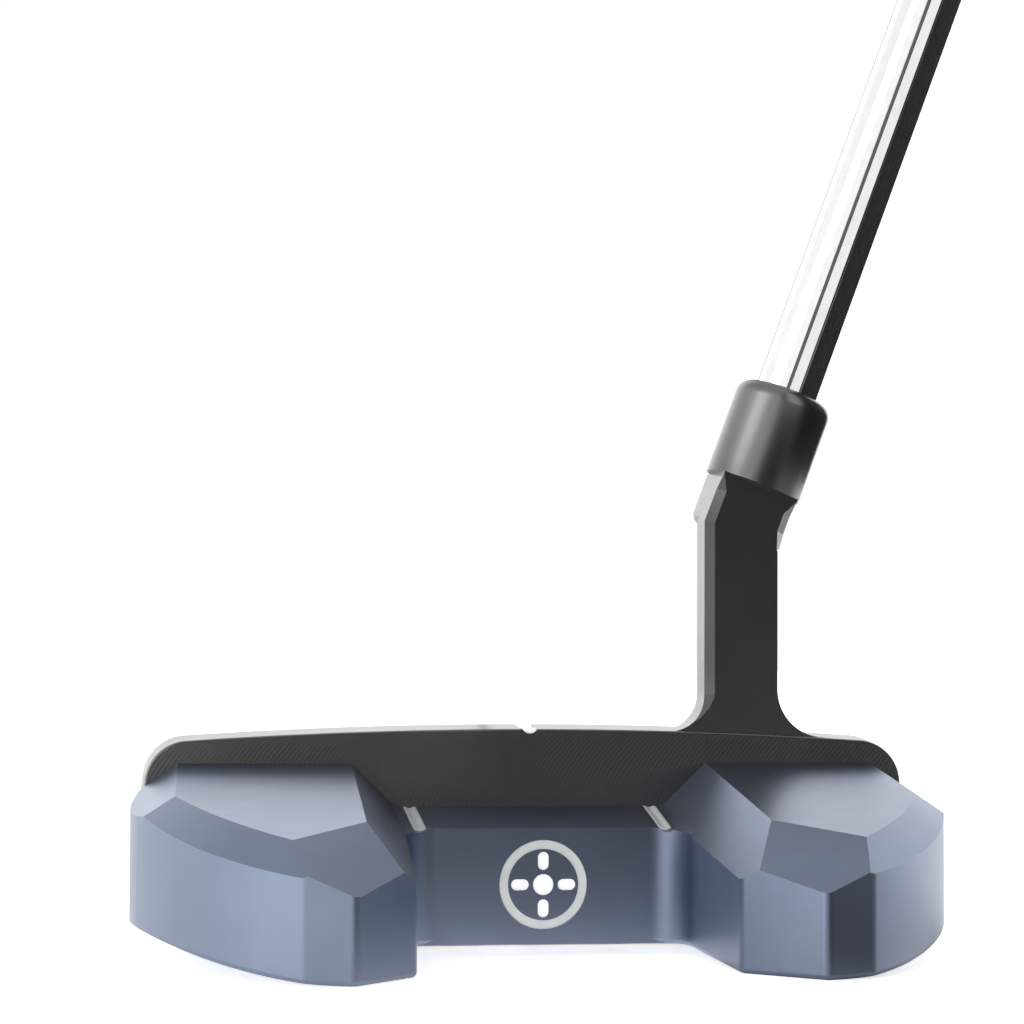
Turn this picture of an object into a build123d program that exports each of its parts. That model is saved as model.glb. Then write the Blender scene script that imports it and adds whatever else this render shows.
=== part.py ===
from build123d import *

import os
from math import atan2, cos, radians, sin, sqrt, tan

# A left-handed plumber's-neck mallet putter, built as the pieces that come apart on a bench.
#
# Millimetres. X runs to the heel, Y to the target, Z up from the ground. The origin is on the ground,
# in the middle of the flat strip of sole just behind the face. The head's own Y values are measured
# from the joint between the steel face block and the aluminium rear flange.

# ---- driving dimensions -------------------------------------------------------------------------
JOINT_Y = -6.4  # the joint between face block and flange, from the origin

# Face block: a milled steel plate with the neck and the collar in one piece.
FACE_TOP = 32.9  # highest point of the top line, over the sole
FACE_END_TOP = 31.2  # height of the top line where the end corners start
TOP_HALF = 50.6  # half length of the top line between its end corners
FACE_HALF = 57.0  # half width of the head at the joint between plate and flange
CORNER_DROP = 5.8  # height of each top corner
PLATE_TOP_THICK = 6.5
LOFT = 3.0  # degrees
TOP_FALL = 0.66  # fall of the top line's surface from the face to the rear
TOP_ROUND = 0.3
FACE_EDGE = 0.4
SOLE_FLAT_HALF = 32.0  # the sole is flat to here, then curves up to toe and heel
CAMBER_RADIUS = 73.0
SOLE_ROUND = 0.7  # rounding between the sole and the flange's outer walls

# Neck, offset block, collar and bore
LEAN = 20.4  # degrees that the shaft leans to the heel: a lie of 69.6
SHAFT_Y = 6.5
COLLAR_TOP = (40.65, 83.15)  # X and Z of the centre of the collar's top
COLLAR_RADIUS = 7.35
COLLAR_LENGTH = 15.3
COLLAR_ROUND = 2.2
BLOCK_HALF = 6.0
BLOCK_END = 23.3  # from the collar's top to the kink, along the shaft
NECK_REAR = 0.75
NECK_FRONT = 6.9
BLOCK_FRONT = 12.3
NECK_LEFT = 26.85
NECK_RIGHT = 37.8
NECK_ROUND_LEFT = 5.6
NECK_ROUND_RIGHT = 7.2
NECK_CHAMFER = 1.3
NECK_RIGHT_CHAMFER = 0.35
FOOT_FADE = (  # how the neck's chamfer fades down its foot: angles round the foot, shares of the chamfer
    (radians(52), 0.03),
    (radians(38), 0.35),
    (radians(22), 0.7),
    (radians(8), 0.95),
    (0, 1),
)
CHAMFER_RUN_OUT = 2.4  # length over which a chamfer dies out
BLOCK_ROUND = 2.0  # rounding of the block's lower front and toe edges
BORE_DEPTH = 20.0
GLUE = 0.12

NECK_ROOT = 4.0  # depth of the neck's root in the plate, from the top line
FOOT_SUNK = (1.0, 1.9)  # how far below the top line's highest point the two rounds run out
CORNER_DRAFT = 0.5  # the plate's ends lean out by this much below each corner
CORNER_FOOT = 4.0  # over this height
KINK_OVERLAP = 4.0  # how far the neck reaches up inside the block
RUN_OUT_GAP = 0.4
RUN_OUT_SIZE = 0.03
LEVEL = 0.01  # how far an upright wall's normal may lean
OVERCUT = 0.15  # by which a tool stands proud of what it cuts
HOLE_SPARE = 0.3  # a blind hole's depth past its screw or pin

# Rear flange: two faceted wings and the bridge between them, milled from aluminium.
BRIDGE_REAR = -11.3
BRIDGE_FRONT_TOP = 20.95
BRIDGE_REAR_TOP = 18.3
CORNER_ROUND = 4.8  # upright hollow corner between bridge and wing
INNER_BRIDGE = 20.6  # X of a wing's inner wall at the bridge
BRIDGE_ROOT = 24.0  # how far the bridge reaches into each wing
WING_G = (22.2, -39.2)  # inner rear corner, seen from above
WING_E = (31.6, -50.2)  # rearmost corner
WING_D = (38.6, -48.4)  # outer rear corner
OUTER_WIDEST = (58.44, -15.6)
FRONT_BULGE = 1.28  # rise of the outline arc between the plate and the widest point
OUTER_BULGE = 2.9  # rise of the outline arc from the widest point to the outer rear corner
EDGE_ROUND_D = 1.8
EDGE_ROUND_E = 1.4
EDGE_ROUND_G = 2.4
ROOF_BLEND = 3.0  # hollow round where a wing's inner slope meets the bridge's roof
STOCK_TOP = 32.0
HEAD_REACH = 60.0  # further than the head reaches to front or rear
RELIEF_HALF = 25.5  # shallow hollow under the middle of the sole
RELIEF_REAR = -39.0
RELIEF_FRONT = 5.0
RELIEF_RISE = 1.65
POCKET_X = 38.5
POCKET_WIDTH = 23.0
POCKET_LOW = 6.5
POCKET_HIGH = 19.5
POCKET_DEPTH = 17.0
PLATE_POCKET_DEPTH = 3.0
POCKET_ROUND = 3.0

# Points of the right wing's facets, each a corner that three facets share.
TOP_OUTER = (51.75, 0, 27.25)
TOP_INNER = (26.5, 0, 27.25)
CREST = (28.53, -36.32, 19.72)
SHOULDER = (39.88, -41.82, 18.65)
REAR_TIP = (31.6, -50.2, 11.5)
INNER_TIP = (24.92, -41.6, 14.4)
INNER_LOW = (22.2, -39.2, 12.75)
SIDE_PLATE = (56.7, 0, 24.0)
SIDE_REAR = (53.4, -18.8, 23.35)
BEVEL_CENTRE = (-17.05, 6.95)  # axis of the cone that bevels the outer edge, on the top facet
BEVEL_RADIUS = 75.0
BEVEL_SLOPE = 1.5  # growth of the cone's radius for each millimetre below the top facet

# Alignment lines, sight notch and badge: shallow grooves with paint in them.
LINE_X = 17.95
LINE_WIDTH = 1.9
LINE_RADIUS = 1.2
LINE_FRONT_GAP = 0.1
LINE_SUNK = 0.03
LINE_OVERRUN = 4.0  # by which the groove's cut passes the bridge's rear face
PAINT = 0.25
NOTCH_RADIUS = 1.33
NOTCH_PAINT_START = 0.9
NOTCH_PAINT_SUNK = 0.5
BADGE_Z = 10.2
BADGE_OUTER = 6.4
BADGE_INNER = 5.1
BADGE_GROOVE = 0.45
DOT_RADIUS = 1.5
BAR_LENGTH = 1.0
BAR_WIDTH = 1.6
BAR_CENTRE = 3.4
BAR_COUNT = 4

# Fasteners
LUG_X = 11.0
LUG_WIDTH = 8.0
LUG_DEPTH = 7.0
LUG_LOW = 6.0
LUG_HIGH = 11.6
LUG_GAP = 0.1
SCREW_GAP = 0.15
SCREW_Y = -4.0
SCREW_HEAD_RADIUS = 3.4
SCREW_HEAD = (2.5, 4.2)  # lowest and highest Z of the screw head
SCREW_RADIUS = 1.7
SCREW_TOP = 10.6
SCREW_EDGE = 0.25
SCREW_SOCKET = 1.3
SCREW_SOCKET_DEPTH = 1.0
PIN_X = 21.0
PIN_Z = 12.0
PIN_RADIUS = 1.5
PIN_REAR = -5.0
PIN_FRONT = 4.0
FIT_GAP = 0.03

# Sole weights
WEIGHT_X = 36.0
WEIGHT_Y = -27.0
WEIGHT_FACE = 1.3
WEIGHT_SEAT = 4.6
WEIGHT_HEAD_RADIUS = 7.2
WEIGHT_HEAD_THICK = 2.7
WEIGHT_SHANK_RADIUS = 5.9
WEIGHT_SHANK_TOP = 12.4
PORT_SPARE = 0.6  # a port's depth past its weight
WEIGHT_GAP = 0.25
THREAD_GAP = 0.08
WEIGHT_EDGE = 0.4
WEIGHT_SOCKET = 2.9
WEIGHT_SOCKET_DEPTH = 2.2
RING_SECTION = 0.27

# Shaft and grip, by distance along the shaft's axis from the collar's top
TIP_RADIUS = 4.7
SHAFT_WALL = 0.6
STEP_START = 160.0
STEP_PITCH = 25.4
STEP_RISE = 0.19
STEP_COUNT = 14
STEP_BLEND = 1.5
CLUB_TOP = 775.0
GRIP_LENGTH = 267.0
TAPE = 0.25
CORE_WALL = (0.5, 1.6)  # at the grip's mouth and at its top
GRIP_MOUTH = (9.9, 9.5, 9.0)  # half width, half depth and distance of the flat from the shaft's axis
GRIP_MIDDLE = (12.2, 11.4, 10.0)
GRIP_BUTT = (14.2, 13.0, 11.2)
GRIP_ROUND = 2.5  # along both edges of the flat
CAP_THICK = 3.0
CAP_ROUND = 1.6
CAP_SPIGOT = 6.0
VENT_RADIUS = 1.0
END_GAP = 0.05
PLUG_LENGTH = 8.0

# ---- frames and helpers -------------------------------------------------------------------------
OUT = "parts"
AXIS_DIR = Vector(sin(radians(LEAN)), 0, cos(radians(LEAN)))
COLLAR_CENTRE = Vector(COLLAR_TOP[0], JOINT_Y + SHAFT_Y, COLLAR_TOP[1])
GROUND = Plane(origin=(0, JOINT_Y, 0), x_dir=(1, 0, 0), z_dir=(0, 0, 1))
JOINT = Plane(origin=(0, JOINT_Y, 0), x_dir=(1, 0, 0), z_dir=(0, -1, 0))
SIDE = Plane(origin=(0, JOINT_Y, 0), x_dir=(0, 1, 0), z_dir=(1, 0, 0))


def shaft_plane(distance):
    """The plane square to the shaft, this far up its axis from the collar's top."""
    return Plane(
        origin=COLLAR_CENTRE + AXIS_DIR * distance,
        x_dir=(cos(radians(LEAN)), 0, -sin(radians(LEAN))),
        z_dir=AXIS_DIR,
    )


def facet_plane(a, b, c):
    """The plane through three corners, facing up."""
    a, b, c = [GROUND.from_local_coords(Vector(*corner)) for corner in (a, b, c)]
    normal = (b - a).cross(c - a).normalized()
    if normal.Z < 0:
        normal = -normal
    return Plane(origin=a, x_dir=(b - a).normalized(), z_dir=normal)


def finish(piece, name):
    """Labels a finished piece and writes it."""
    piece.part.label = name
    export_step(piece.part, os.path.join(OUT, name + ".step"))


def sole_tool():
    """Shapes the sole when it is cut away: curved up at both ends, with a shallow hollow in the middle."""
    far = FACE_HALF + 6
    middle = (far + SOLE_FLAT_HALF) / 2
    rise, middle_rise = [
        CAMBER_RADIUS - sqrt(CAMBER_RADIUS**2 - (x - SOLE_FLAT_HALF) ** 2) for x in (far, middle)
    ]
    with BuildPart() as tool:
        with BuildSketch(JOINT):
            with BuildLine():
                ThreePointArc((SOLE_FLAT_HALF, 0), (middle, middle_rise), (far, rise))
                Polyline((far, rise), (far, -1), (SOLE_FLAT_HALF, -1), (SOLE_FLAT_HALF, 0))
            make_face()
        extrude(amount=HEAD_REACH, both=True)
        mirror(about=Plane.YZ)
        with BuildSketch(SIDE):
            with BuildLine():
                Polyline(
                    (RELIEF_REAR, 0),
                    (BRIDGE_REAR, RELIEF_RISE),
                    (RELIEF_FRONT, 0),
                    (RELIEF_FRONT, -1),
                    (RELIEF_REAR, -1),
                    close=True,
                )
            make_face()
        extrude(amount=RELIEF_HALF, both=True)
    return tool.part


def chamfer_tool(side, corner_y, stations):
    """Chamfers an upright edge when cut away. A station is a plane across, the edge's x and a size."""
    out_y = corner_y - OVERCUT
    with BuildPart() as tool:
        for pair in zip(stations, stations[1:]):
            for plane, corner_x, size in pair:
                out_x = corner_x + side * OVERCUT
                with BuildSketch(plane):
                    with BuildLine():
                        Polyline(
                            (out_x, out_y),
                            (corner_x - side * (size + OVERCUT), out_y),
                            (out_x, corner_y + size + OVERCUT),
                            close=True,
                        )
                    make_face()
            loft()
    return tool.part


def offset_block():
    """The block square to the shaft, under the collar, with its lower front and toe edges rounded."""
    with BuildPart() as block:
        with BuildSketch(shaft_plane(-BLOCK_END)):
            with Locations((0, (BLOCK_FRONT + NECK_REAR) / 2 - SHAFT_Y)):
                Rectangle(2 * BLOCK_HALF, BLOCK_FRONT - NECK_REAR)
        extrude(amount=BLOCK_END - COLLAR_LENGTH)
        lower = block.faces().sort_by(Axis.Z)[0].edges()
        fillet([lower.sort_by(Axis.X)[0], lower.sort_by(Axis.Y)[-1]], BLOCK_ROUND)
    return block.part


def badge_band(height):
    """The badge's ring, this high from the bottom of its groove."""
    with BuildPart() as band:
        with BuildSketch(badge_floor):
            Circle(BADGE_OUTER)
            Circle(BADGE_INNER, mode=Mode.SUBTRACT)
        extrude(amount=height)
    return band.part


def badge_marks(height):
    """The badge's dot and its four bars, this high from the bottom of their grooves."""
    with BuildPart() as marks:
        with BuildSketch(badge_floor):
            Circle(DOT_RADIUS)
            with PolarLocations(BAR_CENTRE, BAR_COUNT):
                SlotOverall(BAR_LENGTH + BAR_WIDTH, BAR_WIDTH)
        extrude(amount=height)
    return marks.part


def roof_tool():
    """All that lies under the bridge's roof, the heel wing's inner slope and the round between them."""
    slope = facet_plane(TOP_INNER, CREST, INNER_LOW).z_dir
    along = roof_plane.z_dir.cross(slope).normalized()
    across = roof_plane.z_dir.cross(along)
    turn = slope.get_angle(roof_plane.z_dir)
    rise = tan(radians(turn))
    start = ROOF_BLEND * tan(radians(turn / 2))
    with BuildPart() as tool:
        with BuildSketch(Plane(roof_corner, x_dir=across, z_dir=along)):
            with BuildLine():
                blend = TangentArc(
                    (-start, 0),
                    (start * cos(radians(turn)), start * sin(radians(turn))),
                    tangent=(1, 0),
                )
                Polyline(
                    blend @ 1,
                    (STOCK_TOP, STOCK_TOP * rise),
                    (STOCK_TOP, -STOCK_TOP),
                    (-2 * HEAD_REACH, -STOCK_TOP),
                    (-2 * HEAD_REACH, 0),
                    blend @ 0,
                )
            make_face()
        extrude(amount=HEAD_REACH, both=True)
    return tool.part


os.makedirs(OUT, exist_ok=True)
screw_places = [(side * LUG_X, SCREW_Y) for side in (-1, 1)]
pin_places = [(side * PIN_X, PIN_Z) for side in (-1, 1)]
pocket_places = [(side * POCKET_X, (POCKET_LOW + POCKET_HIGH) / 2) for side in (-1, 1)]
badge_place = JOINT.from_local_coords((0, BADGE_Z, -BRIDGE_REAR - BADGE_GROOVE))
badge_floor = Plane(badge_place, x_dir=(1, 0, 0), z_dir=(0, -1, 0))
lug_places = [(side * LUG_X, (LUG_LOW + LUG_HIGH) / 2) for side in (-1, 1)]
weight_places = [(side * WEIGHT_X, WEIGHT_Y) for side in (-1, 1)]

# ---- face block ---------------------------------------------------------------------------------
plate_bottom_thick = PLATE_TOP_THICK + FACE_TOP * tan(radians(LOFT))
corner_low = FACE_END_TOP - CORNER_DROP
kink_left, kink_right, over_left, over_right = [
    shaft_plane(height - BLOCK_END).from_local_coords((side * BLOCK_HALF, 0, 0))
    for height in (0, KINK_OVERLAP)
    for side in (-1, 1)
]
foot_left = (NECK_LEFT - NECK_ROUND_LEFT, FACE_TOP - FOOT_SUNK[0])
foot_right = (NECK_RIGHT + NECK_ROUND_RIGHT, FACE_TOP - FOOT_SUNK[1])
bend_left = (NECK_LEFT, foot_left[1] + NECK_ROUND_LEFT)
bend_right = (NECK_RIGHT, foot_right[1] + NECK_ROUND_RIGHT)

with BuildPart() as face_block:
    # Plate: its outline at the joint and at the face, kept within its side profile.
    for depth in (0, plate_bottom_thick):
        fall = TOP_FALL * (1 - depth / PLATE_TOP_THICK)
        with BuildSketch(JOINT.offset(-depth)):
            with BuildLine():
                top = TangentArc((0, FACE_TOP - fall), (TOP_HALF, FACE_END_TOP - fall), tangent=(1, 0))
                corner = TangentArc(top @ 1, (FACE_HALF - CORNER_DRAFT, corner_low), tangent=top % 1)
                Polyline(corner @ 1, (FACE_HALF, corner_low - CORNER_FOOT), (FACE_HALF, 0), (0, 0))
                mirror(about=Plane.YZ)
            make_face()
    loft()
    with BuildSketch(SIDE):
        with BuildLine():
            Polyline(
                (0, 0), (plate_bottom_thick, 0), (PLATE_TOP_THICK, FACE_TOP), (0, FACE_TOP), close=True
            )
        make_face()
    extrude(amount=HEAD_REACH, both=True, mode=Mode.INTERSECT)
    add(sole_tool(), mode=Mode.SUBTRACT)
    rear = face_block.faces().filter_by(Axis.Y).sort_by(Axis.Y)[0]
    shoulder_low = corner_low - CORNER_FOOT - 1
    fillet(rear.edges().filter_by(lambda edge: edge.bounding_box().min.Z > shoulder_low), TOP_ROUND)
    front = face_block.faces().filter_by(lambda face: face.normal_at().Y > cos(radians(2 * LOFT)))
    chamfer(front.sort_by(Axis.Y)[-1].edges(), FACE_EDGE)

    # Neck: an upright bar with hollow rounds where it grows out of the top line.
    with BuildSketch(JOINT.offset(-NECK_REAR)):
        with BuildLine():
            Polyline(
                bend_left,
                (NECK_LEFT, kink_left.Z),
                (over_left.X, over_left.Z),
                (over_right.X, over_right.Z),
                (kink_right.X, kink_right.Z),
                (NECK_RIGHT, kink_right.Z),
                bend_right,
            )
            RadiusArc(bend_right, foot_right, -NECK_ROUND_RIGHT)
            Polyline(
                foot_right,
                (foot_right[0], FACE_TOP - NECK_ROOT),
                (foot_left[0], FACE_TOP - NECK_ROOT),
                foot_left,
            )
            RadiusArc(foot_left, bend_left, -NECK_ROUND_LEFT)
        make_face()
    extrude(amount=-(NECK_FRONT - NECK_REAR))

    # Offset block, square to the shaft, with the round collar on top of it.
    add(offset_block())
    with BuildSketch(shaft_plane(-COLLAR_LENGTH)):
        Circle(COLLAR_RADIUS)
    extrude(amount=COLLAR_LENGTH)
    rim = face_block.edges().filter_by(GeomType.CIRCLE).sort_by(Axis.Z)[-1]
    fillet(rim, COLLAR_ROUND)
    with BuildSketch(shaft_plane(0)):
        Circle(TIP_RADIUS + GLUE)
    extrude(amount=-BORE_DEPTH, mode=Mode.SUBTRACT)

    # The rear edges of neck and block are chamfered, and the chamfers die out at their ends.
    under_collar = -COLLAR_LENGTH - RUN_OUT_GAP
    kink_ends = ((-1, CHAMFER_RUN_OUT, NECK_CHAMFER), (1, RUN_OUT_GAP, NECK_RIGHT_CHAMFER))
    for side, past_kink, kink_size in kink_ends:
        edge = side * BLOCK_HALF
        stations = (
            (shaft_plane(-BLOCK_END - past_kink), edge, kink_size),
            (shaft_plane(-BLOCK_END + CHAMFER_RUN_OUT), edge, NECK_CHAMFER),
            (shaft_plane(under_collar - CHAMFER_RUN_OUT), edge, NECK_CHAMFER),
            (shaft_plane(under_collar), edge, RUN_OUT_SIZE),
        )
        add(chamfer_tool(side, NECK_REAR - SHAFT_Y, stations), mode=Mode.SUBTRACT)
    stations = [
        (
            GROUND.offset(bend_left[1] - NECK_ROUND_LEFT * sin(turn)),
            NECK_LEFT - NECK_ROUND_LEFT * (1 - cos(turn)),
            NECK_CHAMFER * size,
        )
        for turn, size in FOOT_FADE
    ]
    stations.append((GROUND.offset(kink_left.Z + CHAMFER_RUN_OUT), NECK_LEFT, NECK_CHAMFER))
    add(chamfer_tool(-1, NECK_REAR, stations), mode=Mode.SUBTRACT)

    # Sight notch in the top line, screw lugs, screw and pin holes, and pockets to save weight.
    with BuildSketch(JOINT):
        with Locations((0, FACE_TOP)):
            Circle(NOTCH_RADIUS)
    extrude(amount=-plate_bottom_thick, mode=Mode.SUBTRACT)
    with BuildSketch(JOINT):
        with Locations(*lug_places):
            Rectangle(LUG_WIDTH, LUG_HIGH - LUG_LOW)
    extrude(amount=LUG_DEPTH)
    with BuildSketch(GROUND.offset(LUG_LOW)):
        with Locations(*screw_places):
            Circle(SCREW_RADIUS + FIT_GAP)
    extrude(amount=SCREW_TOP - LUG_LOW + HOLE_SPARE, mode=Mode.SUBTRACT)
    with BuildSketch(JOINT):
        with Locations(*pin_places):
            Circle(PIN_RADIUS + FIT_GAP)
    extrude(amount=-PIN_FRONT - HOLE_SPARE, mode=Mode.SUBTRACT)
    with BuildSketch(JOINT):
        with Locations(*pocket_places):
            RectangleRounded(POCKET_WIDTH, POCKET_HIGH - POCKET_LOW, POCKET_ROUND)
    extrude(amount=-PLATE_POCKET_DEPTH, mode=Mode.SUBTRACT)
finish(face_block, "face_block")


# ---- rear flange --------------------------------------------------------------------------------
roof_tilt = atan2(BRIDGE_FRONT_TOP - BRIDGE_REAR_TOP, -BRIDGE_REAR)
roof_plane = Plane(
    origin=(0, JOINT_Y, BRIDGE_FRONT_TOP), x_dir=(1, 0, 0), z_dir=(0, -sin(roof_tilt), cos(roof_tilt))
)
line_plane = Plane(roof_plane.origin, x_dir=(1, 0, 0), z_dir=-roof_plane.y_dir)
line_lift = sqrt(LINE_RADIUS**2 - (LINE_WIDTH / 2) ** 2)
top_facet = facet_plane(TOP_OUTER, TOP_INNER, CREST)
bevel_plane = Plane(origin=(0, JOINT_Y, TOP_OUTER[2]), x_dir=(1, 0, 0), z_dir=top_facet.z_dir)
facets = (
    top_facet,
    facet_plane(SHOULDER, REAR_TIP, INNER_TIP),
    facet_plane(TOP_INNER, CREST, INNER_LOW),
    facet_plane(TOP_OUTER, SIDE_PLATE, SIDE_REAR),
)
inner_slope = facets[2]
drop = inner_slope.origin - roof_plane.origin
# The point of the joint where the heel wing's inner slope meets the roof.
roof_corner = Vector(
    (inner_slope.z_dir.dot(drop)) / inner_slope.z_dir.X, JOINT_Y, BRIDGE_FRONT_TOP
)
corner_start = INNER_BRIDGE - CORNER_ROUND
corner_end = BRIDGE_REAR - CORNER_ROUND

with BuildPart() as wing:
    with BuildSketch(GROUND) as wing_plan:
        with BuildLine():
            Line((corner_start, 0), (FACE_HALF, 0))
            SagittaArc((FACE_HALF, 0), OUTER_WIDEST, FRONT_BULGE)
            SagittaArc(OUTER_WIDEST, WING_D, OUTER_BULGE)
            Polyline(WING_D, WING_E, WING_G, (INNER_BRIDGE, corner_end), (INNER_BRIDGE, BRIDGE_REAR))
            Polyline((INNER_BRIDGE, BRIDGE_REAR), (corner_start, BRIDGE_REAR), (corner_start, 0))
        make_face()
        for place, radius in ((WING_D, EDGE_ROUND_D), (WING_E, EDGE_ROUND_E), (WING_G, EDGE_ROUND_G)):
            corner = wing_plan.vertices().sort_by_distance(GROUND.from_local_coords((*place, 0)))[0]
            fillet(corner, radius)
    extrude(amount=STOCK_TOP)
    for facet in facets:
        split(bisect_by=facet, keep=Keep.BOTTOM)
    # The outer bevel is part of a cone that stands square on the top facet.
    for depth in (-1, STOCK_TOP):
        with BuildSketch(bevel_plane.offset(-depth)):
            with Locations(BEVEL_CENTRE):
                Circle(BEVEL_RADIUS + BEVEL_SLOPE * depth)
    loft(mode=Mode.INTERSECT)

with BuildPart() as rear_flange:
    with BuildSketch(GROUND):
        with BuildLine():
            Polyline(
                (corner_start, BRIDGE_REAR),
                (0, BRIDGE_REAR),
                (0, 0),
                (BRIDGE_ROOT, 0),
                (BRIDGE_ROOT, corner_end),
                (INNER_BRIDGE, corner_end),
            )
            RadiusArc((INNER_BRIDGE, corner_end), (corner_start, BRIDGE_REAR), -CORNER_ROUND)
        make_face()
    extrude(amount=STOCK_TOP)
    add(roof_tool(), mode=Mode.INTERSECT)
    add(wing.part)
    mirror(about=Plane.YZ)
    add(sole_tool(), mode=Mode.SUBTRACT)
    walls = rear_flange.faces().filter_by(
        lambda face: abs(face.center().X) > INNER_BRIDGE + 1
        and face.bounding_box().size.Z > POCKET_LOW
        and abs(face.normal_at().Z) < LEVEL
        and face.center().Y < JOINT_Y - 1
    )
    fillet(walls.edges().filter_by(lambda edge: edge.bounding_box().max.Z < POCKET_LOW), SOLE_ROUND)
    # Pockets against the plate, for the lugs and to save weight.
    with BuildSketch(JOINT):
        with Locations(*pocket_places):
            RectangleRounded(POCKET_WIDTH, POCKET_HIGH - POCKET_LOW, POCKET_ROUND)
    extrude(amount=POCKET_DEPTH, mode=Mode.SUBTRACT)
    with BuildSketch(JOINT):
        with Locations(*lug_places):
            Rectangle(LUG_WIDTH + 2 * LUG_GAP, LUG_HIGH - LUG_LOW + 2 * LUG_GAP)
    extrude(amount=LUG_DEPTH + LUG_GAP, mode=Mode.SUBTRACT)
    with BuildSketch(JOINT):
        with Locations(*pin_places):
            Circle(PIN_RADIUS + FIT_GAP)
    extrude(amount=-PIN_REAR + HOLE_SPARE, mode=Mode.SUBTRACT)
    # Screw holes up through the bridge, and the two weight ports.
    for places, radius, height in (
        (screw_places, SCREW_HEAD_RADIUS + SCREW_GAP, SCREW_HEAD[1]),
        (screw_places, SCREW_RADIUS + SCREW_GAP, LUG_HIGH),
        (weight_places, WEIGHT_HEAD_RADIUS + WEIGHT_GAP, WEIGHT_SEAT),
        (weight_places, WEIGHT_SHANK_RADIUS + THREAD_GAP, WEIGHT_SHANK_TOP + PORT_SPARE),
    ):
        with BuildSketch(GROUND):
            with Locations(*places):
                Circle(radius)
        extrude(amount=height, mode=Mode.SUBTRACT)
    # Alignment grooves along the bridge's sloping roof.
    with BuildSketch(line_plane):
        with Locations(*[(side * LINE_X, line_lift) for side in (-1, 1)]):
            Circle(LINE_RADIUS)
    extrude(amount=-BRIDGE_REAR + LINE_OVERRUN, both=True, mode=Mode.SUBTRACT)
    # Grooves of the badge on the bridge's rear face.
    add(badge_marks(BADGE_GROOVE), mode=Mode.SUBTRACT)
    add(badge_band(BADGE_GROOVE), mode=Mode.SUBTRACT)
finish(rear_flange, "rear_flange")

# ---- paint in the grooves -----------------------------------------------------------------------
for name, side in (("toe_alignment_line", -1), ("heel_alignment_line", 1)):
    with BuildPart() as line:
        with BuildSketch(line_plane.offset(LINE_FRONT_GAP)):
            with Locations((side * LINE_X, line_lift)):
                Circle(LINE_RADIUS)
                Circle(LINE_RADIUS - PAINT, mode=Mode.SUBTRACT)
            with Locations((side * LINE_X, LINE_RADIUS)):
                Rectangle(3 * LINE_RADIUS, 2 * (LINE_RADIUS + LINE_SUNK), mode=Mode.SUBTRACT)
        extrude(amount=-BRIDGE_REAR - 2 * LINE_FRONT_GAP)
    finish(line, name)

with BuildPart() as notch_paint:
    with BuildSketch(JOINT.offset(-NOTCH_PAINT_START)):
        with Locations((0, FACE_TOP)):
            Circle(NOTCH_RADIUS)
            Circle(NOTCH_RADIUS - PAINT, mode=Mode.SUBTRACT)
        with Locations((0, FACE_TOP + NOTCH_RADIUS - NOTCH_PAINT_SUNK)):
            Rectangle(3 * NOTCH_RADIUS, 2 * NOTCH_RADIUS, mode=Mode.SUBTRACT)
    extrude(amount=-(PLATE_TOP_THICK - 2 * NOTCH_PAINT_START))
finish(notch_paint, "sight_notch_paint")

with BuildPart() as badge_ring:
    add(badge_band(PAINT))
finish(badge_ring, "badge_ring_paint")

with BuildPart() as badge_mark:
    add(badge_marks(PAINT))
finish(badge_mark, "badge_mark_paint")

# ---- fasteners ----------------------------------------------------------------------------------
with BuildPart() as flange_screws:
    with BuildSketch(GROUND.offset(SCREW_HEAD[0])):
        with Locations(*screw_places):
            Circle(SCREW_HEAD_RADIUS)
    extrude(amount=SCREW_HEAD[1] - SCREW_HEAD[0])
    chamfer(flange_screws.edges().group_by(Axis.Z)[0], SCREW_EDGE)
    with BuildSketch(GROUND.offset(SCREW_HEAD[1])):
        with Locations(*screw_places):
            Circle(SCREW_RADIUS)
    extrude(amount=SCREW_TOP - SCREW_HEAD[1])
    with BuildSketch(GROUND.offset(SCREW_HEAD[0])):
        with Locations(*screw_places):
            RegularPolygon(SCREW_SOCKET, 6)
    extrude(amount=SCREW_SOCKET_DEPTH, mode=Mode.SUBTRACT)
finish(flange_screws, "flange_screws")

with BuildPart() as locating_pins:
    with BuildSketch(JOINT.offset(-PIN_FRONT)):
        with Locations(*pin_places):
            Circle(PIN_RADIUS)
    extrude(amount=PIN_FRONT - PIN_REAR)
finish(locating_pins, "locating_pins")

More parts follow.
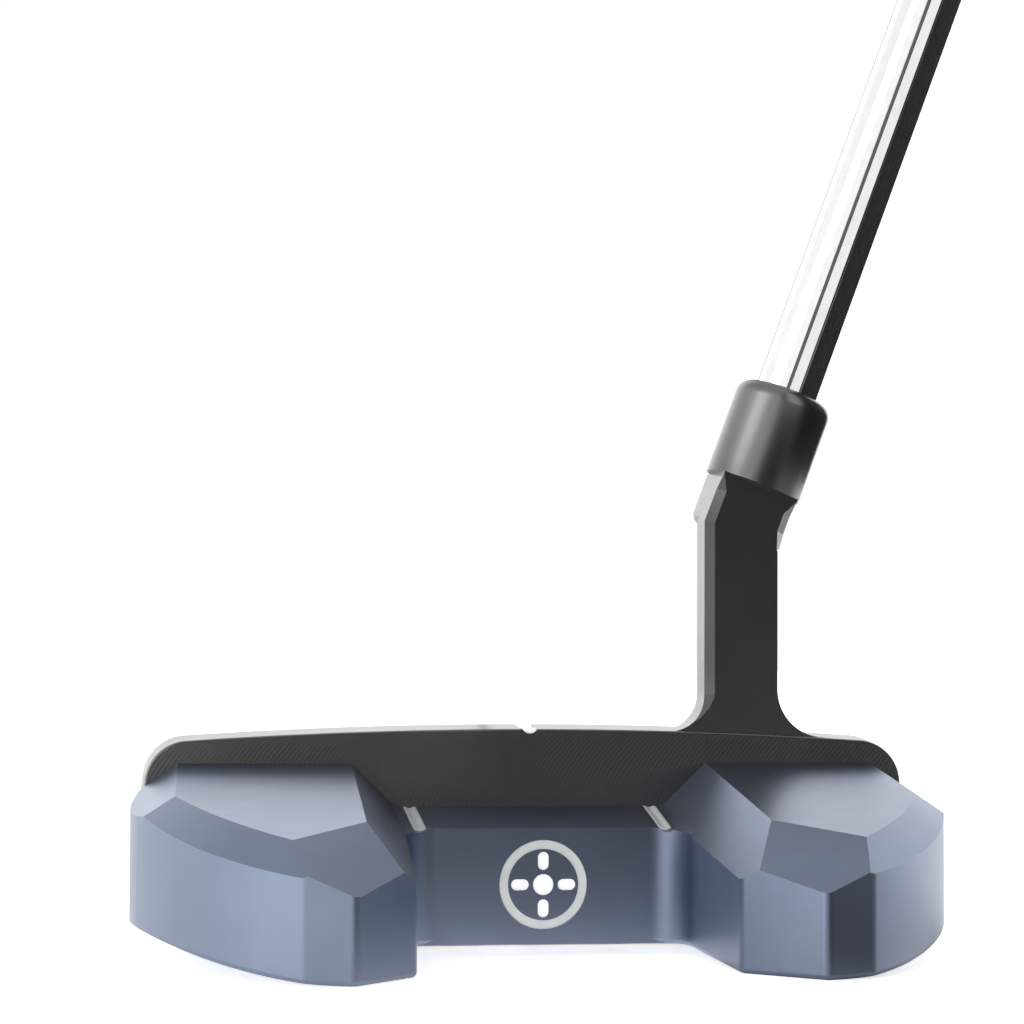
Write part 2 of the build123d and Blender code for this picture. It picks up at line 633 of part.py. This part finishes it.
for name, place in zip(("toe", "heel"), weight_places):
    with BuildPart() as weight:
        with BuildSketch(GROUND.offset(WEIGHT_FACE)):
            with Locations(place):
                Circle(WEIGHT_HEAD_RADIUS)
        extrude(amount=WEIGHT_HEAD_THICK)
        chamfer(weight.edges().filter_by(GeomType.CIRCLE).sort_by(Axis.Z)[0], WEIGHT_EDGE)
        with BuildSketch(GROUND.offset(WEIGHT_FACE + WEIGHT_HEAD_THICK)):
            with Locations(place):
                Circle(WEIGHT_SHANK_RADIUS)
        extrude(amount=WEIGHT_SHANK_TOP - WEIGHT_FACE - WEIGHT_HEAD_THICK)
        chamfer(weight.edges().filter_by(GeomType.CIRCLE).sort_by(Axis.Z)[-1], WEIGHT_EDGE)
        with BuildSketch(GROUND.offset(WEIGHT_FACE)):
            with Locations(place):
                RegularPolygon(WEIGHT_SOCKET, 6)
        extrude(amount=WEIGHT_SOCKET_DEPTH, mode=Mode.SUBTRACT)
    finish(weight, name + "_weight")
    ring_height = WEIGHT_FACE + WEIGHT_HEAD_THICK + RING_SECTION + FIT_GAP
    with BuildPart() as ring:
        with BuildSketch(JOINT.offset(-place[1])):
            with Locations((place[0] + WEIGHT_SHANK_RADIUS + RING_SECTION + THREAD_GAP, ring_height)):
                Circle(RING_SECTION)
        revolve(axis=Axis(GROUND.from_local_coords((*place, 0)), (0, 0, 1)))
    finish(ring, name + "_weight_ring")

# ---- shaft --------------------------------------------------------------------------------------
butt_radius = TIP_RADIUS + STEP_COUNT * STEP_RISE
shaft_frame = shaft_plane(0)
shaft_side = Plane(origin=COLLAR_CENTRE, x_dir=shaft_frame.x_dir, z_dir=(0, -1, 0))


def stepped_outline(start, end, inset):
    """Points of the stepped shaft's radius, less an inset, from start to end along the axis."""
    points = [(TIP_RADIUS - inset, start)]
    for k in range(STEP_COUNT):
        at = STEP_START + k * STEP_PITCH
        points += [
            (TIP_RADIUS + k * STEP_RISE - inset, at),
            (TIP_RADIUS + (k + 1) * STEP_RISE - inset, at + STEP_BLEND),
        ]
    points.append((butt_radius - inset, end))
    return points


with BuildPart() as shaft:
    with BuildSketch(shaft_side):
        with BuildLine():
            outer = stepped_outline(-BORE_DEPTH + END_GAP, CLUB_TOP, 0)
            inner = stepped_outline(-BORE_DEPTH + END_GAP, CLUB_TOP, SHAFT_WALL)
            Polyline(*outer, *inner[::-1], close=True)
        make_face()
    revolve(axis=Axis(COLLAR_CENTRE, AXIS_DIR))
finish(shaft, "shaft")

with BuildPart() as hosel_glue:
    with BuildSketch(shaft_plane(-BORE_DEPTH + END_GAP)):
        Circle(TIP_RADIUS + GLUE)
        Circle(TIP_RADIUS, mode=Mode.SUBTRACT)
    extrude(amount=BORE_DEPTH - 2 * END_GAP)
finish(hosel_glue, "hosel_glue")

with BuildPart() as tip_plug:
    with BuildSketch(shaft_plane(-BORE_DEPTH + 2 * END_GAP)):
        Circle(TIP_RADIUS - SHAFT_WALL)
    extrude(amount=PLUG_LENGTH)
finish(tip_plug, "tip_plug")

# ---- grip ---------------------------------------------------------------------------------------
grip_start = CLUB_TOP - GRIP_LENGTH
tape_radius = butt_radius + TAPE
core_low = (tape_radius + CORE_WALL[0], grip_start)
core_high = (tape_radius + CORE_WALL[1], CLUB_TOP)


def grip_section(distance, half_width, half_depth, flat):
    """A rounded section centred on the shaft's axis, with its flat on the upper side, for the thumbs."""
    with BuildSketch(shaft_plane(distance)) as section:
        Ellipse(half_depth, half_width)
        with Locations((-flat - half_depth, 0)):
            Rectangle(2 * half_depth, 4 * half_width, mode=Mode.SUBTRACT)
        fillet(section.vertices().group_by(Axis.X)[0], GRIP_ROUND)
    return section.sketch


with BuildPart() as grip_tape:
    with BuildSketch(shaft_plane(grip_start + END_GAP)):
        Circle(tape_radius)
        Circle(butt_radius, mode=Mode.SUBTRACT)
    extrude(amount=GRIP_LENGTH - 2 * END_GAP)
finish(grip_tape, "grip_tape")

with BuildPart() as grip_core:
    with BuildSketch(shaft_side):
        with BuildLine():
            Polyline(
                (tape_radius, grip_start), core_low, core_high, (tape_radius, CLUB_TOP), close=True
            )
        make_face()
    revolve(axis=Axis(COLLAR_CENTRE, AXIS_DIR))
finish(grip_core, "grip_core")

with BuildPart() as grip_skin:
    add(grip_section(grip_start, *GRIP_MOUTH))
    add(grip_section(grip_start + GRIP_LENGTH / 2, *GRIP_MIDDLE))
    add(grip_section(CLUB_TOP, *GRIP_BUTT))
    loft()
    with BuildSketch(shaft_side):
        with BuildLine():
            Polyline((0, grip_start), core_low, core_high, (0, CLUB_TOP), close=True)
        make_face()
    revolve(axis=Axis(COLLAR_CENTRE, AXIS_DIR), mode=Mode.SUBTRACT)
finish(grip_skin, "grip_skin")

with BuildPart() as grip_cap:
    add(grip_section(CLUB_TOP, *GRIP_BUTT))
    extrude(amount=CAP_THICK)
    top = grip_cap.faces().filter_by(lambda face: face.normal_at().dot(AXIS_DIR) > 1 - LEVEL)
    fillet(top.edges(), CAP_ROUND)
    with BuildSketch(shaft_plane(CLUB_TOP - CAP_SPIGOT)):
        Circle(butt_radius - SHAFT_WALL)
    extrude(amount=CAP_SPIGOT)
    with BuildSketch(shaft_plane(CLUB_TOP - CAP_SPIGOT)):
        Circle(VENT_RADIUS)
    extrude(amount=CAP_SPIGOT + CAP_THICK, mode=Mode.SUBTRACT)
finish(grip_cap, "grip_cap")
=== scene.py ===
"""The mallet putter's looks: procedural materials on its CAD pieces, camera, floor, world, lights and cards.

Metres, in the part's own frame: X runs to the heel, Y to the target, Z up from the ground. A level direction
is given as its angle from +Y towards +X.
"""

from math import cos, pi, radians, sin

import bpy
from mathutils import Matrix, Vector


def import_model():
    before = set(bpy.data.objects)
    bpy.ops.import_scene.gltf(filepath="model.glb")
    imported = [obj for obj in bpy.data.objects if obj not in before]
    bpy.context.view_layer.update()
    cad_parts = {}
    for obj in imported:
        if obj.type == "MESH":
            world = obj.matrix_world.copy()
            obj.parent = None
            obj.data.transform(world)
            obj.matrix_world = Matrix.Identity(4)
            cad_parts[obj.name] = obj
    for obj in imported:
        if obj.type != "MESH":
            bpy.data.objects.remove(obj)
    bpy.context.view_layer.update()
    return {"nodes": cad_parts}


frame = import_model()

scene = bpy.context.scene
nodes = frame["nodes"]

# ---- driving values -------------------------------------------------------------------------------
CAMERA_PLACE = (-0.08319, -0.47243, 0.04416)
CAMERA_YAW = radians(9.782)  # from +Y towards +X
CAMERA_TILT = radians(2.438)  # above level
CAMERA_ROLL = radians(0.25)
CAMERA_LENS = 112.5  # mm
CAMERA_SENSOR = 36  # mm

LEAN = radians(20.4)
AXIS_FOOT = Vector((0.04065, 0.0001, 0.08315))  # the shaft's axis at the collar's top
AXIS_DIR = Vector((sin(LEAN), 0, cos(LEAN)))
AXIS_SIDE = Vector((0, 1, 0)).cross(AXIS_DIR)  # square to the axis, towards the heel

CUTTER_RADIUS = 0.031  # of the fly cutter that leaves arcs on the plate
CUTTER_HEIGHT = 0.0095  # of its centre above the ground
MILL_PITCH = 0.00072
MILL_DEPTH = 0.000006
MILL_FACING = (0.985, 0.998)  # share of Y in the normals of the faces that show the arcs
MILL_TOP = (0.0332, 0.0320)  # height where the arcs have faded out, and where they are full

GRIP_PITCH = 0.006  # of the grip's diamonds, along it
GRIP_STARTS = 14  # of the diamonds round it
GRIP_DEPTH = 0.00025
WEIGHT_CENTRE = (0.036, -0.0334)  # X and Y of the weights' axes
WEIGHT_PITCH = 0.0004  # of the lathe's rings
SCREW_CENTRE = (0.011, -0.0104)
SCREW_PITCH = 0.0003

FLOOR_REACH = 6.0
FLOOR_LEVEL = -0.00005  # a hair under the sole
FLOOR_WHITE = 0.9
FLOOR_SEEN = 0.7  # what the floor gives off to the camera
FLOOR_PAINTED_GLOW = 0.35  # the painted glow that the floor gives off in reflections, where it is painted fully lit
FLOOR_PAINTED_SHADE = 0.68  # painted shade: how much darker the floor is, in reflections, on the studio's dim side
HOLLOW_PLACE = (0.004, -0.016, 0)  # between the wings, the middle of the painted light under the head
PAINTED_BOUNCE_LIGHT = ((0.1, -0.23, 0), (0.03, 0.11), 0.6)  # a painted pool of light on the floor that brightens the bridge in reflections: place, distances where it fades and ends, light
# painted light in the floor's colour round the head, and a stronger painted glow between the wings
PAINTED_UNDER_LIGHT = (HOLLOW_PLACE, (0.04, 0.075), 1.0)
PAINTED_HOLLOW_LIGHT = (HOLLOW_PLACE, (0.014, 0.032), 1.8)

ROOM_LIGHT = 1.03  # of the studio all round
SHADE_WAY = radians(130)  # its dim side
SHADE_SPREAD = (34, 60)  # degrees where a zone starts to fade, and where it ends
DARK_WAY = radians(165)  # and its darkest part, behind the camera
DARK_SPREAD = (16, 34)
DARK_SHARE = 0.9  # of the light that it lacks
WORLD_SHADE = 0.85
AHEAD_LIGHT = 0.65  # more of it beyond the putter
AHEAD_RISE = (0.5, 0.95)  # share of Y in a direction where it starts, and where it is full
TOP_LIGHT = 0.7  # of the ceiling
TOP_RISE = (0.5, 0.8)  # the same for Z
LAMP_WAY = Vector((-0.80, -0.43, 0.42))  # the soft lamp behind the camera on the left
LAMP_LIGHT = 1.5
LAMP_RISE = (0.95, 0.985)  # cosine of the angle from its middle where it starts, and where it is full
LOW_LAMP_WAYS = (Vector((-0.98, -0.17, 0.1)), Vector((0.93, 0.36, 0.05)))  # low ones at the left and right
LOW_LAMP_LIGHT = 1.1
LOW_LAMP_RISE = (0.88, 0.98)
HEAD_MIDDLE = Vector((0, -0.02, 0.03))
RIGHT_LIGHT = ((1.2, 0.5, 0.5), (0.4, 0.9), 1.5)  # place, width and height, watts
FILL_LIGHT = ((-0.3, -1.2, 0.09), (0.9, 0.12), 9)

CARD_TOP = 0.53  # of the curved cards round the shaft, from the collar's top
CARD_AWAY = 0.03  # from the shaft's axis
CARD_STEPS = 6
SHAFT_CARDS = (  # name, first and last degrees round the axis, lower end from the collar's top, glow
    ("edge_card", -16, 13, 0.002, 0.0),
    ("black_card", 50, 146, -0.009, 0.0),
    ("white_card", 154, 187, 0.002, 0.9),
    ("line_card", 190, 199, 0.002, 0.1),
)
NECK_CARD_X = -0.004
NECK_CARD_Y = (-0.055, 0.015)
NECK_CARD_Z = (0.036, 0.088)
NECK_CARD_GLOW = 0.5


# ---- node helpers ---------------------------------------------------------------------------------
def add_node(tree, kind, inputs=(), **settings):
    """A node with its settings and its inputs, each a value or the output that feeds it."""
    made = tree.nodes.new(kind)
    for key, value in settings.items():
        setattr(made, key, value)
    for key, value in dict(inputs).items():
        if isinstance(value, bpy.types.NodeSocket):
            tree.links.new(value, made.inputs[key])
        else:
            made.inputs[key].default_value = value
    return made


class Material:
    """A node material with a Principled shader, and short calls to wire it."""

    def __init__(self, name, **sockets):
        self.data = bpy.data.materials.new(name)
        self.data.use_nodes = True
        self.tree = self.data.node_tree
        self.shader = self.tree.nodes["Principled BSDF"]
        for socket, value in sockets.items():
            self.shader.inputs[socket.replace("_", " ")].default_value = value
        self.coords = self.node("ShaderNodeTexCoord").outputs["Object"]

    def node(self, kind, inputs=(), **settings):
        return add_node(self.tree, kind, inputs, **settings)

    def feed(self, socket, output):
        self.tree.links.new(output, self.shader.inputs[socket])

    def math(self, operation, a, b=0.0):
        return self.node("ShaderNodeMath", {0: a, 1: b}, operation=operation).outputs[0]

    def noise(self, size, detail):
        """Noise whose lumps are about this many metres across."""
        inputs = {"Vector": self.coords, "Scale": 1 / size, "Detail": detail}
        return self.node("ShaderNodeTexNoise", inputs).outputs["Fac"]

    def ramp(self, factor, *stops):
        """A colour ramp of (position, colour) stops; a colour may be one number."""
        made = self.node("ShaderNodeValToRGB", {"Fac": factor})
        for element, (position, colour) in zip(made.color_ramp.elements, stops):
            element.position = position
            colour = (colour,) * 3 if isinstance(colour, (int, float)) else colour
            element.color = (*colour, 1)
        return made.outputs["Color"]

    def span(self, factor, low, high):
        """Maps 0..1 to low..high."""
        return self.node("ShaderNodeMapRange", {"Value": factor, "To Min": low, "To Max": high}).outputs[0]

    def rise(self, value, start, end):
        """0 up to the start, 1 from the end on."""
        inputs = {"Value": value, "From Min": start, "From Max": end}
        return self.node("ShaderNodeMapRange", inputs).outputs[0]

    def bump(self, height, depth, after=None):
        """A bump of this depth in metres, over an earlier one."""
        inputs = {"Height": height, "Distance": depth, "Strength": 1.0}
        if after is not None:
            inputs["Normal"] = after
        return self.node("ShaderNodeBump", inputs).outputs["Normal"]


# ---- materials ------------------------------------------------------------------------------------
def anodised_blue():
    """Blue-grey anodised aluminium with a fine blasted surface."""
    m = Material("anodised_blue", Metallic=1.0, Coat_Weight=0.2, Coat_Roughness=0.3)
    deep, pale = (0.217, 0.258, 0.350), (0.231, 0.274, 0.370)
    m.feed("Base Color", m.ramp(m.noise(0.012, 3), (0.35, deep), (0.65, pale)))
    m.feed("Roughness", m.span(m.noise(0.004, 3), 0.34, 0.40))
    m.feed("Normal", m.bump(m.noise(0.00018, 2), 0.000004))
    return m.data


def coated_steel():
    """Charcoal coating over steel, with the arcs that a fly cutter leaves on the plate's flat faces."""
    m = Material("coated_steel", Metallic=1.0)
    m.feed("Base Color", m.ramp(m.noise(0.02, 3), (0.3, 0.20), (0.7, 0.23)))
    m.feed("Roughness", m.span(m.noise(0.003, 3), 0.27, 0.33))
    parts = m.node("ShaderNodeSeparateXYZ", {0: m.coords}).outputs
    above = m.math("SUBTRACT", parts["Z"], CUTTER_HEIGHT)
    reach = m.math("SUBTRACT", CUTTER_RADIUS**2, m.math("MULTIPLY", above, above))
    track = m.math("ADD", parts["X"], m.math("SQRT", m.math("MAXIMUM", reach, 0)))
    waver = m.math("MULTIPLY", m.noise(0.012, 2), 1.5 * MILL_PITCH)
    arcs = m.math("SINE", m.math("MULTIPLY", m.math("ADD", track, waver), 2 * pi / MILL_PITCH))
    normal = m.node("ShaderNodeNewGeometry").outputs["Normal"]
    facing = m.math("ABSOLUTE", m.node("ShaderNodeSeparateXYZ", {0: normal}).outputs["Y"])
    level = m.math("MULTIPLY", m.rise(facing, *MILL_FACING), m.rise(parts["Z"], *MILL_TOP))
    fine = m.bump(m.noise(0.00012, 2), 0.000002)
    m.feed("Normal", m.bump(m.math("MULTIPLY", arcs, level), MILL_DEPTH, fine))
    return m.data


def plain(name, colour, roughness, metallic=0.0, grain=1.0):
    """One colour with faint spots and a fine grain, for paint, plastic, rubber, glue and smooth steel."""
    m = Material(name, Metallic=metallic)
    dark = tuple(0.92 * c for c in colour)
    spot = 0.002
    m.feed("Base Color", m.ramp(m.noise(spot, 3), (0.3, dark), (0.7, colour)))
    m.feed("Roughness", m.span(m.noise(spot / 2, 3), roughness * 0.9, roughness * 1.1))
    m.feed("Normal", m.bump(m.noise(spot / 12, 2), grain * spot / 1500))
    return m.data


def turned_steel(name, colour, roughness, centre, pitch):
    """Steel with the fine rings of a lathe round an upright axis, the same on toe and heel side."""
    m = Material(name, Metallic=1.0)
    m.feed("Base Color", m.ramp(m.noise(0.004, 3), (0.3, colour * 0.93), (0.7, colour)))
    m.feed("Roughness", m.span(m.noise(0.002, 3), roughness * 0.9, roughness * 1.15))
    parts = m.node("ShaderNodeSeparateXYZ", {0: m.coords}).outputs
    across = m.math("SUBTRACT", m.math("ABSOLUTE", parts["X"]), centre[0])
    along = m.math("SUBTRACT", parts["Y"], centre[1])
    squares = m.math("ADD", m.math("MULTIPLY", across, across), m.math("MULTIPLY", along, along))
    rings = m.math("SINE", m.math("MULTIPLY", m.math("SQRT", squares), 2 * pi / pitch))
    m.feed("Normal", m.bump(rings, pitch / 60))
    return m.data


def grip_rubber():
    """Soft black rubber with a fine moulded diamond pattern round the shaft's axis."""
    m = Material("grip_rubber", IOR=1.45)
    m.feed("Base Color", m.ramp(m.noise(0.01, 3), (0.3, 0.022), (0.7, 0.032)))
    m.feed("Roughness", m.span(m.noise(0.003, 3), 0.5, 0.62))
    away = m.node("ShaderNodeVectorMath", {0: m.coords, 1: AXIS_FOOT}, operation="SUBTRACT").outputs[0]

    def part(direction):
        inputs = {0: away, 1: direction}
        return m.node("ShaderNodeVectorMath", inputs, operation="DOT_PRODUCT").outputs["Value"]

    turn = m.math("ARCTAN2", part(AXIS_SIDE), part((0, 1, 0)))
    along = m.math("MULTIPLY", part(AXIS_DIR), 2 * pi / GRIP_PITCH)
    around = m.math("MULTIPLY", turn, GRIP_STARTS)
    rise = m.math("SINE", m.math("ADD", along, around))
    fall = m.math("SINE", m.math("SUBTRACT", along, around))
    diamonds = m.math("SMOOTH_MIN", rise, fall)
    m.feed("Normal", m.bump(diamonds, GRIP_DEPTH, m.bump(m.noise(0.0004, 2), 0.00001)))
    return m.data


def give(material, *names):
    """Puts one material on all of the named nodes."""
    for name in names:
        data = nodes[name].data
        data.materials.clear()
        data.materials.append(material)
        for polygon in data.polygons:
            polygon.material_index = 0


give(anodised_blue(), "rear_flange")
give(coated_steel(), "face_block")
give(turned_steel("screw_steel", 0.5, 0.28, SCREW_CENTRE, SCREW_PITCH), "flange_screws")
give(plain("pin_steel", (0.5, 0.5, 0.51), 0.25, 1.0), "locating_pins")
give(turned_steel("weight_steel", 0.4, 0.26, WEIGHT_CENTRE, WEIGHT_PITCH), "toe_weight", "heel_weight")
give(plain("seal_rubber", (0.02, 0.02, 0.02), 0.6), "toe_weight_ring", "heel_weight_ring")
grey_paint = plain("grey_paint", (0.52, 0.54, 0.54), 0.45)
give(grey_paint, "toe_alignment_line", "heel_alignment_line", "badge_ring_paint")
give(plain("white_paint", (0.93, 0.93, 0.94), 0.4), "badge_mark_paint", "sight_notch_paint")
give(plain("shaft_chrome", (0.95, 0.95, 0.955), 0.05, 1.0, grain=0.05), "shaft")
give(plain("glue", (0.3, 0.28, 0.22), 0.4), "hosel_glue")
give(plain("plug_plastic", (0.6, 0.6, 0.58), 0.5), "tip_plug")
give(plain("tape", (0.7, 0.66, 0.55), 0.8), "grip_tape")
give(plain("core_foam", (0.08, 0.08, 0.08), 0.8), "grip_core")
give(grip_rubber(), "grip_skin")
give(plain("cap_rubber", (0.028, 0.028, 0.03), 0.5), "grip_cap")


# ---- camera ---------------------------------------------------------------------------------------
def camera():
    """The camera behind the head, just above the ground, tilted and rolled a little."""
    data = bpy.data.cameras.new("camera")
    data.lens = CAMERA_LENS
    data.sensor_width = CAMERA_SENSOR
    data.clip_start = 0.01
    data.clip_end = 50
    made = bpy.data.objects.new("camera", data)
    scene.collection.objects.link(made)
    flat = cos(CAMERA_TILT)
    ahead = Vector((sin(CAMERA_YAW) * flat, cos(CAMERA_YAW) * flat, sin(CAMERA_TILT)))
    level = Vector((cos(CAMERA_YAW), -sin(CAMERA_YAW), 0))
    upright = level.cross(ahead)
    right = level * cos(CAMERA_ROLL) + upright * sin(CAMERA_ROLL)
    up = upright * cos(CAMERA_ROLL) - level * sin(CAMERA_ROLL)
    turn = Matrix((right, up, -ahead)).transposed().to_4x4()
    made.matrix_world = Matrix.Translation(CAMERA_PLACE) @ turn
    scene.camera = made


# ---- floor, world and lights ----------------------------------------------------------------------
def smooth(node, value, start, end, first=0.0, last=1.0):
    """Goes smoothly from first to last while the value goes from start to end."""
    inputs = {"Value": value, "From Min": start, "From Max": end, "To Min": first, "To Max": last}
    return node("ShaderNodeMapRange", inputs, interpolation_type="SMOOTHSTEP").outputs[0]


def join(node, operation, a, b):
    """One sum, difference or product of two values."""
    return node("ShaderNodeMath", {0: a, 1: b}, operation=operation).outputs[0]


def dot(node, a, b):
    """The cosine of the angle between two directions."""
    return node("ShaderNodeVectorMath", {0: a, 1: b}, operation="DOT_PRODUCT").outputs["Value"]


def towards(node, level, way, near, far):
    """1 for a level direction within near degrees of this way, and 0 from far degrees on."""
    unit = node("ShaderNodeVectorMath", {0: level}, operation="NORMALIZE").outputs[0]
    close = dot(node, unit, (sin(way), cos(way), 0))
    return smooth(node, close, cos(radians(far)), cos(radians(near)))


def light_from(node, level, shade):
    """The studio's light from a level direction, less by the shade on its dim side, and dark in one part.
    The world gives it off as light; on the floor it is painted light and shade.
    """
    shaded = join(node, "MULTIPLY", towards(node, level, SHADE_WAY, *SHADE_SPREAD), shade)
    lit = join(node, "SUBTRACT", ROOM_LIGHT, shaded)
    dark = join(node, "MULTIPLY", towards(node, level, DARK_WAY, *DARK_SPREAD), DARK_SHARE)
    return join(node, "MULTIPLY", lit, join(node, "SUBTRACT", 1.0, dark))


def floor():
    """A wide pale floor, white to the camera. In reflections its colour and glow follow the studio's light
    as painted shade on its dim side, with painted pools of light round the head.
    """
    mesh = bpy.data.meshes.new("floor")
    sides = ((-1, -1), (1, -1), (1, 1), (-1, 1))
    corners = [(x * FLOOR_REACH, y * FLOOR_REACH, FLOOR_LEVEL) for x, y in sides]
    mesh.from_pydata(corners, [], [(0, 1, 2, 3)])
    made = bpy.data.objects.new("floor", mesh)
    scene.collection.objects.link(made)
    m = Material("floor", Roughness=0.6)
    flat = m.node("ShaderNodeVectorMath", {0: m.coords, 1: (1, 1, 0)}, operation="MULTIPLY").outputs[0]

    def painted_patch(place, spread, light):
        """This much painted light round the place, and none beyond the spread."""
        away = m.node("ShaderNodeVectorMath", {0: flat, 1: place}, operation="DISTANCE").outputs["Value"]
        return smooth(m.node, away, *spread, light, 0.0)

    # painted shade and painted pools of light: the floor's colour and its glow in reflections
    far = m.math("ADD", light_from(m.node, flat, FLOOR_PAINTED_SHADE), painted_patch(*PAINTED_BOUNCE_LIGHT))
    lit = m.math("MINIMUM", m.math("ADD", far, painted_patch(*PAINTED_UNDER_LIGHT)), 1.0)
    painted_glow = m.math("MULTIPLY", m.math("ADD", far, painted_patch(*PAINTED_HOLLOW_LIGHT)), FLOOR_PAINTED_GLOW)
    seen = m.node("ShaderNodeLightPath").outputs["Is Camera Ray"]
    painted_tone = m.node("ShaderNodeMix", {"Factor": seen, "A": lit, "B": 1.0}).outputs["Result"]
    glow = m.node("ShaderNodeMix", {"Factor": seen, "A": painted_glow, "B": FLOOR_SEEN}).outputs["Result"]
    m.feed("Base Color", m.ramp(m.math("MULTIPLY", painted_tone, FLOOR_WHITE), (0, 0.0), (1, 1.0)))
    m.feed("Emission Strength", glow)
    m.shader.inputs["Emission Color"].default_value = (1, 1, 1, 1)
    mesh.materials.append(m.data)


def world():
    """White to the camera. To everything else: the studio's light, more ahead, the ceiling and the lamps."""
    made = bpy.data.worlds.new("studio")
    made.use_nodes = True
    tree = made.node_tree

    def node(kind, inputs=(), **settings):
        return add_node(tree, kind, inputs, **settings)

    direction = node("ShaderNodeTexCoord").outputs["Generated"]
    parts = node("ShaderNodeSeparateXYZ", {0: direction}).outputs
    level = node("ShaderNodeVectorMath", {0: direction, 1: (1, 1, 0)}, operation="MULTIPLY").outputs[0]
    ahead = smooth(node, parts["Y"], *AHEAD_RISE, last=AHEAD_LIGHT)
    low = join(node, "ADD", light_from(node, level, WORLD_SHADE), ahead)
    rise = smooth(node, parts["Z"], *TOP_RISE)
    around = node("ShaderNodeMix", {"Factor": rise, "A": low, "B": TOP_LIGHT}).outputs["Result"]
    lamp = smooth(node, dot(node, direction, LAMP_WAY), *LAMP_RISE, last=LAMP_LIGHT)
    around = join(node, "ADD", around, lamp)
    for way in LOW_LAMP_WAYS:
        lamp = smooth(node, dot(node, direction, way), *LOW_LAMP_RISE, last=LOW_LAMP_LIGHT)
        around = join(node, "ADD", around, lamp)
    seen = node("ShaderNodeLightPath").outputs["Is Camera Ray"]
    strength = node("ShaderNodeMix", {"Factor": seen, "A": around, "B": 1.0}).outputs["Result"]
    background = tree.nodes["Background"]
    tree.links.new(strength, background.inputs["Strength"])
    background.inputs["Color"].default_value = (1, 1, 1, 1)
    scene.world = made


def softbox(name, place, size, power):
    """A rectangular studio light that faces the head."""
    data = bpy.data.lights.new(name, "AREA")
    data.shape = "RECTANGLE"
    data.size, data.size_y = size
    data.energy = power
    made = bpy.data.objects.new(name, data)
    made.location = place
    made.rotation_euler = (HEAD_MIDDLE - Vector(place)).to_track_quat("-Z", "Y").to_euler()
    scene.collection.objects.link(made)
    return made


def card(name, corners, faces, glow):
    """A studio card that is seen only in reflections, dark or glowing."""
    mesh = bpy.data.meshes.new(name)
    mesh.from_pydata(corners, [], faces)
    made = bpy.data.objects.new(name, mesh)
    scene.collection.objects.link(made)
    dull = Material(name, Base_Color=(0.01, 0.01, 0.01, 1), Roughness=0.9)
    dull.shader.inputs["Emission Color"].default_value = (1, 1, 1, 1)
    dull.shader.inputs["Emission Strength"].default_value = glow
    mesh.materials.append(dull.data)
    for ray in ("camera", "diffuse", "shadow"):
        setattr(made, "visible_" + ray, False)


def shaft_card(name, first, last, bottom, glow):
    """A card that curves round the shaft's axis, between two degrees from +Y towards +X."""
    turns = [radians(first + (last - first) * step / CARD_STEPS) for step in range(CARD_STEPS + 1)]
    corners = []
    for along in (bottom, CARD_TOP):
        for turn in turns:
            away = AXIS_SIDE * sin(turn) + Vector((0, cos(turn), 0))
            corners.append(AXIS_FOOT + AXIS_DIR * along + away * CARD_AWAY)
    count = len(turns)
    faces = [(i, i + 1, i + 1 + count, i + count) for i in range(count - 1)]
    card(name, corners, faces, glow)


def neck_card():
    """A flat card at the toe side of the neck."""
    rear, front = NECK_CARD_Y
    bottom, top = NECK_CARD_Z
    outline = ((rear, bottom), (front, bottom), (front, top), (rear, top))
    card("neck_card", [(NECK_CARD_X, y, z) for y, z in outline], [(0, 1, 2, 3)], NECK_CARD_GLOW)


camera()
floor()
world()
softbox("right_light", *RIGHT_LIGHT)
softbox("fill_light", *FILL_LIGHT).visible_glossy = False
for values in SHAFT_CARDS:
    shaft_card(*values)
neck_card()
scene.view_settings.view_transform = "Standard"
